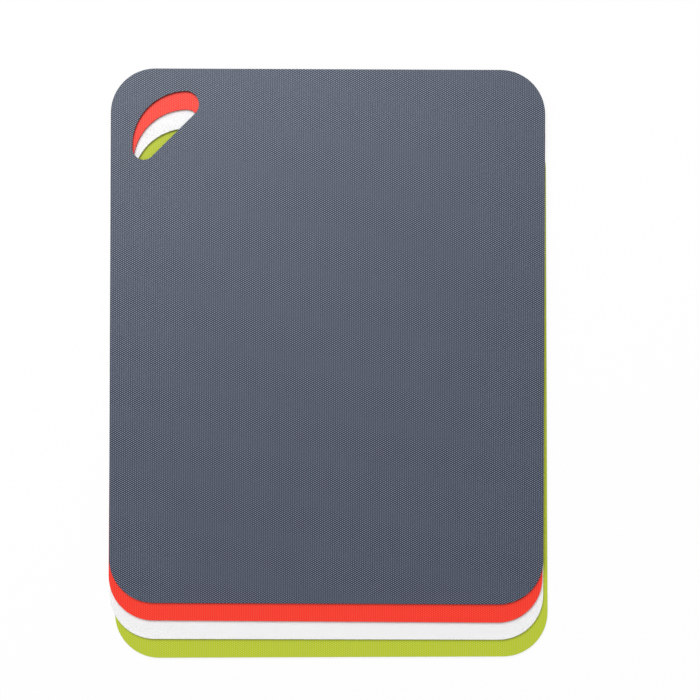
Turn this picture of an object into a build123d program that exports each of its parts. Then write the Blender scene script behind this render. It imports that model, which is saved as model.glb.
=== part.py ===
from build123d import *
from math import sqrt
import os

# Flexible cutting mats: four alike sheets of tough plastic, each in its own colour, lying in a stack
# that is fanned out towards the cook. Every mat is one die-cut piece with rounded corners and a hang
# hole across one corner. X runs across the mats, Y along them towards the hang holes and Z up. The
# origin is on the table, under the middle of the fanned stack.

os.makedirs("parts", exist_ok=True)

# The sheet, in millimetres
MAT_WIDTH = 292.0
MAT_LENGTH = 359.2
SHEET_THICKNESS = 1.2
CORNER_RADIUS = 30.0
# The cutting die goes in from above and rounds the rims of the upper face; those below stay sharp
RIM_RADIUS = 0.12

# The hang hole: a slice of a disc whose straight side lies across the corner's diagonal, so that a
# finger or a hook bears on the curved side, which faces the corner
HOLE_BAND = 23.7  # sheet left between the rounded corner and the curved side, along the diagonal
HOLE_DEPTH = 25.2  # from the curved side to the straight side, along the diagonal
HOLE_ARC_RADIUS = 36.7
HOLE_OFF_DIAGONAL = 0.4  # how far the hole's middle lies off the diagonal, towards the long side
HOLE_TOP_END_RADIUS = 8.8  # the end by the short side of the mat
HOLE_SIDE_END_RADIUS = 7.6  # the end by the long side of the mat

# The fan: each mat lies on the raised grain of the one below, one step nearer the hang holes
GRAIN_GAP = 0.1
FAN_STEP = 12.3

# From the table up: each mat's colour, its slip across the fan, as a share of the step, and its turn
COLOURS = ("green", "white", "red", "grey")
SLIP_SHARES = (0.11, -0.07, -0.08, -0.07)
TURN_DEGREES = (0.22, -0.13, -0.37, -0.24)


def mat_seat(layer):
    """The middle of a mat's underside, where the fan leaves it."""
    steps_from_middle = layer - (len(COLOURS) - 1) / 2
    x = SLIP_SHARES[layer] * FAN_STEP
    y = steps_from_middle * FAN_STEP
    z = layer * (SHEET_THICKNESS + GRAIN_GAP)
    return Location((x, y, z), (0, 0, TURN_DEGREES[layer]))


def hang_hole_plane(seat):
    """The hang hole's corner: X runs in beside the diagonal, and Y towards the short side."""
    square_corner = (-MAT_WIDTH / 2, MAT_LENGTH / 2, 0)
    diagonal = seat * Location(square_corner, (0, 0, -45))
    return Plane(diagonal * Location((0, -HOLE_OFF_DIAGONAL, 0)))


for layer, colour in enumerate(COLOURS):
    seat = mat_seat(layer)

    with BuildPart() as mat:
        with BuildSketch(Plane(seat)):
            RectangleRounded(MAT_WIDTH, MAT_LENGTH, CORNER_RADIUS)
        extrude(amount=SHEET_THICKNESS)

        # The hole's curved side bulges towards the corner, and each end has its own rounding
        curved_side = CORNER_RADIUS * (sqrt(2) - 1) + HOLE_BAND
        straight_side = curved_side + HOLE_DEPTH
        half_chord = sqrt(HOLE_ARC_RADIUS**2 - (HOLE_ARC_RADIUS - HOLE_DEPTH) ** 2)
        top_end = (straight_side, half_chord)
        side_end = (straight_side, -half_chord)
        with BuildSketch(hang_hole_plane(seat)) as hole:
            with BuildLine():
                ThreePointArc(side_end, (curved_side, 0), top_end)
                Line(top_end, side_end)
            make_face()
            fillet(hole.vertices().sort_by(Axis.Y)[-1], HOLE_TOP_END_RADIUS)
            fillet(hole.vertices().sort_by(Axis.Y)[0], HOLE_SIDE_END_RADIUS)
        extrude(amount=SHEET_THICKNESS, mode=Mode.SUBTRACT)

        # The upper rims, round the sheet and round the hole
        fillet(mat.faces().sort_by(Axis.Z)[-1].edges(), RIM_RADIUS)

    mat.part.label = f"{colour}_mat"
    export_step(mat.part, f"parts/{colour}_mat.step")
    box = mat.part.bounding_box()
    print(mat.part.label, round(mat.part.volume), box.min, box.max)
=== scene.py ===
import math

import bpy
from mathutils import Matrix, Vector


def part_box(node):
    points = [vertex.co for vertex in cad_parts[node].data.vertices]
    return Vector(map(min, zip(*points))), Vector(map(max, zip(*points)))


# Four flexible cutting mats in a fanned stack, seen from straight above on a white table. The sheets
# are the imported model's own, and this script gives them their plastic, the table, light and camera.

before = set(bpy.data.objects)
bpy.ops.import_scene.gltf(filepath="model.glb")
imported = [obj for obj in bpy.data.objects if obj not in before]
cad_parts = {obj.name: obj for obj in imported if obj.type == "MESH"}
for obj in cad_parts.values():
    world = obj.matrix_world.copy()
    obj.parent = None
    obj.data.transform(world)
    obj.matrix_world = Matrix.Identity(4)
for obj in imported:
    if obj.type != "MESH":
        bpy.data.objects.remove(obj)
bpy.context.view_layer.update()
bpy.ops.object.select_all(action="DESELECT")

# Metres, and degrees that each mat is turned by in the fan
SHEET_THICKNESS = 0.0012
STACK_HEIGHT = 0.0051
TURNS = {"green_mat": 0.22, "white_mat": -0.13, "red_mat": -0.37, "grey_mat": -0.24}

# The grain is columns of round pips along the mat, packed like a honeycomb and a little off square
PIP_PITCH = 0.001374
COLUMN_PITCH = 0.0012185
GRAIN_TURN = 0.5

# How high over the underside the cut wall starts, and how far below the face the rounded rim ends
CUT_START = (0.00001, 0.00003)
RIM_END = (0.00001, 0.00008)

# The plastic's roughness between the pips, how much smoother their tops are, and the cloudy swing in
# both roughness and colour
ROUGHNESS = 0.47
PIP_POLISH = 0.06
CLOUD_SWING = 0.04
CLOUD_SCALE = 22.0
CLOUD_DETAIL = 3.0


class Wire:
    """A socket in a material's nodes. Sums on wires add Math nodes, and node() adds any other."""

    def __init__(self, tree, output=None):
        self.tree = tree
        self.output = output

    def node(self, kind, settings=None, sockets=None, output=0):
        """Adds a node and gives back one of its outputs, by its name or number."""
        made = self.tree.nodes.new(kind)
        for name, value in (settings or {}).items():
            setattr(made, name, value)
        for name, value in (sockets or {}).items():
            if isinstance(value, Wire):
                self.tree.links.new(value.output, made.inputs[name])
            else:
                made.inputs[name].default_value = value
        return Wire(self.tree, made.outputs[output] if made.outputs else None)

    def math(self, operation, *values):
        return self.node("ShaderNodeMath", {"operation": operation}, dict(enumerate(values)))

    def __add__(self, other):
        return self.math("ADD", self, other)

    def __radd__(self, other):
        return self.math("ADD", other, self)

    def __sub__(self, other):
        return self.math("SUBTRACT", self, other)

    def __rsub__(self, other):
        return self.math("SUBTRACT", other, self)

    def __mul__(self, other):
        return self.math("MULTIPLY", self, other)

    def __rmul__(self, other):
        return self.math("MULTIPLY", other, self)

    def __truediv__(self, other):
        return self.math("DIVIDE", self, other)

    def __or__(self, other):
        """1 where either of two masks is."""
        return self.math("MAXIMUM", self, other)

    def cos(self):
        return self.math("COSINE", self)

    def rise(self, start, end):
        """0 up to start and 1 from end on, with a smooth rise between."""
        return self.node(
            "ShaderNodeMapRange",
            {"interpolation_type": "SMOOTHSTEP"},
            {"Value": self, "From Min": start, "From Max": end},
        )

    def blend(self, low, high):
        """The colour low where this is 0 and high where it is 1."""
        return self.node(
            "ShaderNodeMix", {"data_type": "RGBA"}, {0: self, 6: low, 7: high}, output=2
        )


def srgb(red, green, blue):
    """A colour as it looks on a screen, from 0 to 255, as the shader's linear values."""
    def linear(value):
        value = value / 255
        return value / 12.92 if value <= 0.04045 else ((value + 0.055) / 1.055) ** 2.4

    return (linear(red), linear(green), linear(blue), 1)


def new_tree(name):
    material = bpy.data.materials.new(name)
    material.use_nodes = True
    material.node_tree.nodes.clear()
    return material, Wire(material.node_tree)


def pips(across, along, column_share):
    """1 on top of the grain's pips and 0 between them.

    Three waves, a sixth of a turn apart, add up to a honeycomb. column_share is how strong the wave
    of columns is beside the two slanting ones: 1 gives round pips, and less or more draws them out."""
    columns = across * (2 * math.pi / COLUMN_PITCH)
    rows = along * (2 * math.pi / PIP_PITCH)
    grain = columns.cos() * column_share + (columns * 0.5 + rows).cos() + (columns * 0.5 - rows).cos()
    highest = 2 + column_share
    lowest = column_share - 2 if column_share < 0.5 else -column_share - 0.5 / column_share
    return ((grain - lowest) / (highest - lowest)).rise(0.3, 0.8)


def grained_plastic(
    colour, painted_lit_pip_top, painted_shaded_pip_foot, cut, pip_height, gloss, column_share, sheen=(1, 1, 1, 1), bleed=0
):
    """The plastic of the mat of that colour, on its CAD sheet.

    The three colours are the plastic's on top of the pips, between them and along the cut. The lighter
    tops are painted highlight and the darker feet between the pips painted shade: the plastic is one
    colour, and these two stand for the light and shade on the grain's relief.
    pip_height is the grain's relief in metres, gloss and sheen are the strength and tint of the
    reflection, and bleed is how far light spreads inside the sheet, in millimetres."""
    node = colour + "_mat"
    material, tree = new_tree(colour + "_grained_plastic")
    low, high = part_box(node)
    middle = (low + high) / 2
    place = tree.node("ShaderNodeTexCoord", output="Object")
    own = tree.node(
        "ShaderNodeMapping",
        {"vector_type": "TEXTURE"},
        {
            "Vector": place,
            "Location": (middle.x, middle.y, low.z),
            "Rotation": (0, 0, math.radians(TURNS[node] + GRAIN_TURN)),
        },
    )
    across = tree.node("ShaderNodeSeparateXYZ", sockets={0: own}, output="X")
    along = tree.node("ShaderNodeSeparateXYZ", sockets={0: own}, output="Y")
    up = tree.node("ShaderNodeSeparateXYZ", sockets={0: own}, output="Z")

    # The cut wall and the rounded rim lie between the two faces, and have no grain
    on_cut = up.rise(*CUT_START) * (SHEET_THICKNESS - up).rise(*RIM_END)
    pip = pips(across, along, column_share)
    cloud = tree.node(
        "ShaderNodeTexNoise", sockets={"Vector": own, "Scale": CLOUD_SCALE, "Detail": CLOUD_DETAIL}
    )
    # The pips' tops get the lighter colour as painted highlight, and the gaps between them the darker
    # one as painted shade
    face = (pip + cloud * CLOUD_SWING - CLOUD_SWING / 2).blend(painted_shaded_pip_foot, painted_lit_pip_top)
    bump = tree.node(
        "ShaderNodeBump",
        sockets={"Strength": 1.0, "Distance": pip_height, "Height": pip * (1 - on_cut)},
    )
    plastic = tree.node(
        "ShaderNodeBsdfPrincipled",
        sockets={
            "Base Color": on_cut.blend(face, cut),
            "Roughness": ROUGHNESS - pip * PIP_POLISH + cloud * CLOUD_SWING,
            "Normal": bump,
            "Specular IOR Level": gloss,
            "Specular Tint": sheen,
            "Subsurface Weight": float(bleed > 0),
            "Subsurface Radius": (bleed, bleed, bleed),
            "Subsurface Scale": 0.001,
        },
    )
    tree.node("ShaderNodeOutputMaterial", sockets={"Surface": plastic})
    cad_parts[node].material_slots[0].material = material


# The mats' colours. On each, the darker colour between the pips is painted shade and the lighter one
# on their tops painted highlight, over the plastic's own colour
grained_plastic(
    "grey",
    painted_lit_pip_top=srgb(128, 138, 159),
    painted_shaded_pip_foot=srgb(4, 9, 36),
    cut=srgb(80, 87, 104),
    pip_height=0.00006,
    gloss=0.9,
    sheen=(0.86, 0.93, 1, 1),
    column_share=0.3,
)
grained_plastic(
    "red",
    painted_lit_pip_top=srgb(255, 93, 48),
    painted_shaded_pip_foot=srgb(254, 4, 1),
    cut=srgb(255, 57, 30),
    pip_height=0.00006,
    gloss=0.68,
    column_share=2.2,
)
grained_plastic(
    "white",
    painted_lit_pip_top=srgb(247, 247, 250),
    painted_shaded_pip_foot=srgb(244, 244, 250),
    cut=srgb(252, 252, 252),
    pip_height=0.00002,
    gloss=0.3,
    column_share=0.4,
    bleed=0.7,
)
grained_plastic(
    "green",
    painted_lit_pip_top=srgb(195, 209, 100),
    painted_shaded_pip_foot=srgb(185, 200, 8),
    cut=srgb(193, 207, 76),
    pip_height=0.00006,
    gloss=0.4,
    column_share=2.2,
)


def ray(tree, kind):
    """1 for light rays of that kind and 0 for the rest."""
    return tree.node("ShaderNodeLightPath", output=f"Is {kind} Ray")


# The white table keeps a faint shadow and fades to plain white further off. It is clear from below,
# and lets the room's light up to the undersides, so that these can be seen too
TABLE_SIZE = 12
TABLE_GAP = 0.0002
TABLE_WHITE = 0.85
FADE = (0.2, 0.8)


def white_table():
    material, tree = new_tree("white_table")
    seen = ray(tree, "Camera") | ray(tree, "Glossy") | ray(tree, "Transmission")
    place = tree.node("ShaderNodeTexCoord", output="Object")
    from_middle = tree.node("ShaderNodeVectorMath", {"operation": "LENGTH"}, {0: place}, "Value")
    white = from_middle.rise(*FADE) * (1 - TABLE_WHITE) + TABLE_WHITE
    lit = tree.node("ShaderNodeBsdfDiffuse", sockets={"Color": (0.95, 0.95, 0.95, 1)})
    glow = tree.node("ShaderNodeEmission", sockets={"Strength": 1.0})
    top = tree.node("ShaderNodeMixShader", sockets={0: seen * white, 1: lit, 2: glow})

    from_below = tree.node("ShaderNodeNewGeometry", output="Backfacing")
    let_through = from_below | ray(tree, "Shadow") | ray(tree, "Diffuse")
    clear = tree.node("ShaderNodeBsdfTransparent")
    sides = tree.node("ShaderNodeMixShader", sockets={0: let_through, 1: top, 2: clear})
    tree.node("ShaderNodeOutputMaterial", sockets={"Surface": sides})
    return material


bpy.ops.mesh.primitive_plane_add(size=TABLE_SIZE, location=(0, 0, -TABLE_GAP))
table = bpy.context.object
table.name = "table"
table.data.materials.append(white_table())

# The room: an even pale light, white to the camera, with a dimmer ceiling that only the gloss shows
ROOM_LEVEL = 0.41
CEILING_LEVEL = 0.115
CEILING_RISE = (0.3, 0.85)
world = bpy.data.worlds.new("white_room")
bpy.context.scene.world = world
world.use_nodes = True
world.node_tree.nodes.clear()
room = Wire(world.node_tree)
heading = room.node("ShaderNodeTexCoord", output="Generated")
overhead = room.node("ShaderNodeSeparateXYZ", sockets={0: heading}, output="Z").rise(*CEILING_RISE)
seen = ray(room, "Camera") | ray(room, "Transmission")
dimming = ray(room, "Glossy") * overhead * (ROOM_LEVEL - CEILING_LEVEL)
room_light = room.node(
    "ShaderNodeBackground",
    sockets={"Color": (1, 1, 1, 1), "Strength": ROOM_LEVEL + seen * (1 - ROOM_LEVEL) - dimming},
)
room.node("ShaderNodeOutputWorld", sockets={"Surface": room_light})

# The key light: a softbox over the hang holes' end, a little to the left
KEY_DISTANCE = 4.5
KEY_TILT = math.radians(43)
KEY_HEADING = math.radians(21)
KEY_SIZE = 3.1
KEY_WATTS = 193
key_data = bpy.data.lights.new("key", "AREA")
key_data.shape = "SQUARE"
key_data.size = KEY_SIZE
key_data.energy = KEY_WATTS
key = bpy.data.objects.new("key", key_data)
bpy.context.scene.collection.objects.link(key)
reach = KEY_DISTANCE * math.sin(KEY_TILT)
key.location = (
    -reach * math.sin(KEY_HEADING),
    reach * math.cos(KEY_HEADING),
    KEY_DISTANCE * math.cos(KEY_TILT),
)
key.rotation_euler = (-key.location).to_track_quat("-Z", "Y").to_euler()

# The camera, straight above. The frame's width is at the height of the top mat's face
CAMERA_PLACE = (0.01455, 0.0093, 0.87)
FRAME_WIDTH = 0.4704
SENSOR_WIDTH = 36
camera_data = bpy.data.cameras.new("camera")
camera = bpy.data.objects.new("camera", camera_data)
bpy.context.scene.collection.objects.link(camera)
camera.location = CAMERA_PLACE
camera_data.sensor_width = SENSOR_WIDTH
camera_data.lens = SENSOR_WIDTH * (CAMERA_PLACE[2] - STACK_HEIGHT) / FRAME_WIDTH
bpy.context.scene.camera = camera

bpy.context.scene.view_settings.view_transform = "Standard"
